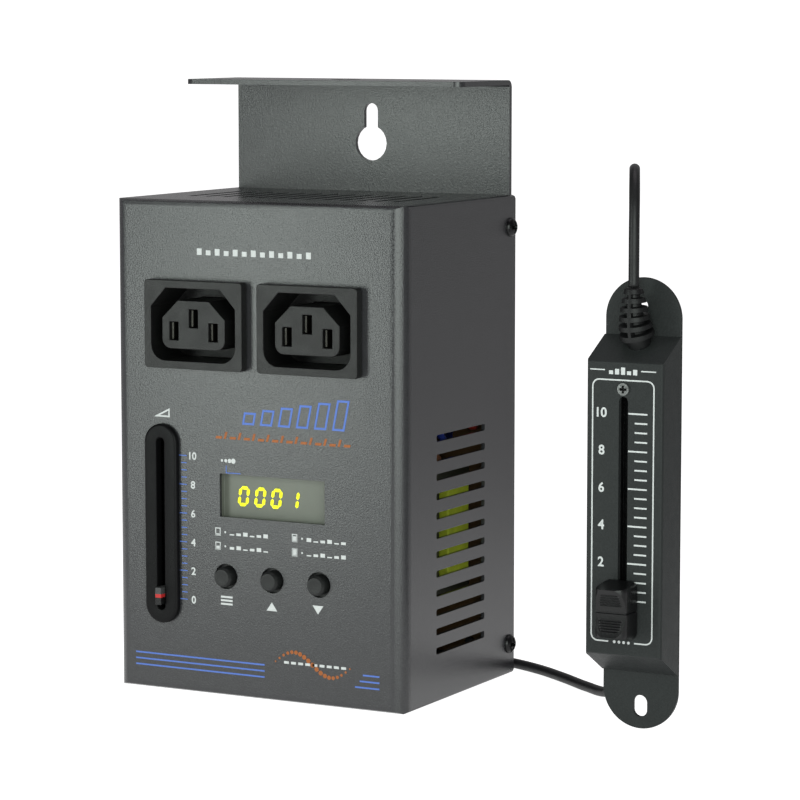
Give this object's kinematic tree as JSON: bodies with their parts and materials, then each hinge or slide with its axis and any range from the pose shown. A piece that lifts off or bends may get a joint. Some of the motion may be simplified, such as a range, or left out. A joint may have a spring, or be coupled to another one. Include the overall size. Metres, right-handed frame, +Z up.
{
  "type": "dimmer pack",
  "caption": "Upright dimmer pack in a folded steel case with a hooded back plate, front outlets, a slide fader, a display with push buttons, and a corded remote fader.",
  "frame": {"origin": "centre of the pack's flat underside", "axes": "+Z up, +Y to the back plate, +X to the vented side; the front panel faces -Y"},
  "size_m": [0.2333, 0.1396, 0.189],
  "materials": {
    "case_paint": "fine textured powder coat, greenish grey",
    "plate_paint": "fine textured powder coat, greenish grey",
    "screw_black": "black zinc, satin",
    "outlet_plastic": "moulded, satin",
    "contact_metal": "nickel plated",
    "bezel_plastic": "smooth black",
    "lever_plastic": "grey with a red line",
    "slide_metal": "plain",
    "window_lens": "grey tinted",
    "display_face": "grey face, yellow digits",
    "lamp_blue": "clear blue",
    "button_plastic": "black, satin",
    "switch_plastic": "plain",
    "board_green": "solder resist",
    "board_brown": "plain laminate",
    "laminations": "varnished laminations",
    "coil_tape": "yellow-green tape",
    "sink_metal": "plain extruded",
    "triac_plastic": "moulded",
    "choke_copper": "enamelled winding",
    "signal_metal": "black nickel",
    "jack_plastic": "moulded",
    "nut_metal": "nickel",
    "wire_blue": "insulated wire",
    "wire_brown": "insulated wire",
    "wire_red": "insulated wire",
    "remote_paint": "fine textured, near black",
    "remote_screw": "zinc",
    "knob_plastic": "black, satin",
    "cord_rubber": "black",
    "plug_plastic": "black"
  },
  "bodies": {
    "pack": {"front_cover": "case_paint", "back_plate": "plate_paint", "case_screw_left_1": "screw_black", "case_screw_left_2": "screw_black", "case_screw_right_1": "screw_black", "case_screw_right_2": "screw_black", "outlet_left": "outlet_plastic", "outlet_right": "outlet_plastic", "mains_inlet": "outlet_plastic", "fuse_holder": "outlet_plastic", "outlet_left_neutral_contact": "contact_metal", "outlet_left_earth_contact": "contact_metal", "outlet_left_live_contact": "contact_metal", "outlet_right_neutral_contact": "contact_metal", "outlet_right_earth_contact": "contact_metal", "outlet_right_live_contact": "contact_metal", "inlet_neutral_pin": "contact_metal", "inlet_earth_pin": "contact_metal", "inlet_live_pin": "contact_metal", "fader_bezel": "bezel_plastic", "fader_body": "slide_metal", "remote_fader_body": "slide_metal", "display_window": "window_lens", "display_module": "display_face", "status_lamp": "lamp_blue", "button_switch_1": "switch_plastic", "button_switch_2": "switch_plastic", "button_switch_3": "switch_plastic", "control_board": "board_green", "power_board": "board_brown", "transformer_core": "laminations", "transformer_coil": "coil_tape", "heat_sink": "sink_metal", "triac_1": "triac_plastic", "triac_2": "triac_plastic", "choke_1": "choke_copper", "choke_2": "choke_copper", "signal_in_socket": "signal_metal", "signal_out_socket": "signal_metal", "remote_socket": "jack_plastic", "remote_socket_nut": "nut_metal", "remote_plug_pin": "nut_metal", "wire_neutral": "wire_blue", "wire_live_1": "wire_brown", "wire_live_2": "wire_red", "remote_cover": "remote_paint", "remote_base_plate": "remote_paint", "remote_fader_screw_1": "remote_screw", "remote_fader_screw_2": "remote_screw", "remote_strain_relief": "cord_rubber", "remote_cord": "cord_rubber", "remote_cord_coil": "cord_rubber", "remote_cord_tail": "cord_rubber", "remote_plug_shell": "plug_plastic"},
    "fader": {"fader_lever": "lever_plastic"},
    "button_left": {"button_1": "button_plastic"},
    "button_middle": {"button_2": "button_plastic"},
    "button_right": {"button_3": "button_plastic"},
    "remote_slider": {"remote_fader_lever": "slide_metal", "remote_knob": "knob_plastic"}
  },
  "joints": [
    {"name": "fader_slide", "type": "slide", "parent": "pack", "child": "fader", "axis": [0, 0, 1], "range_m": [0, 0.045]},
    {"name": "button_left_press", "type": "slide", "parent": "pack", "child": "button_left", "axis": [0, 1, 0], "range_m": [0, 0.0005], "stiffness_N_per_m": 1000},
    {"name": "button_middle_press", "type": "slide", "parent": "pack", "child": "button_middle", "axis": [0, 1, 0], "range_m": [0, 0.0005], "stiffness_N_per_m": 1000},
    {"name": "button_right_press", "type": "slide", "parent": "pack", "child": "button_right", "axis": [0, 1, 0], "range_m": [0, 0.0005], "stiffness_N_per_m": 1000},
    {"name": "remote_slide", "type": "slide", "parent": "pack", "child": "remote_slider", "axis": [0, 0, 1], "range_m": [0, 0.06]}
  ]
}
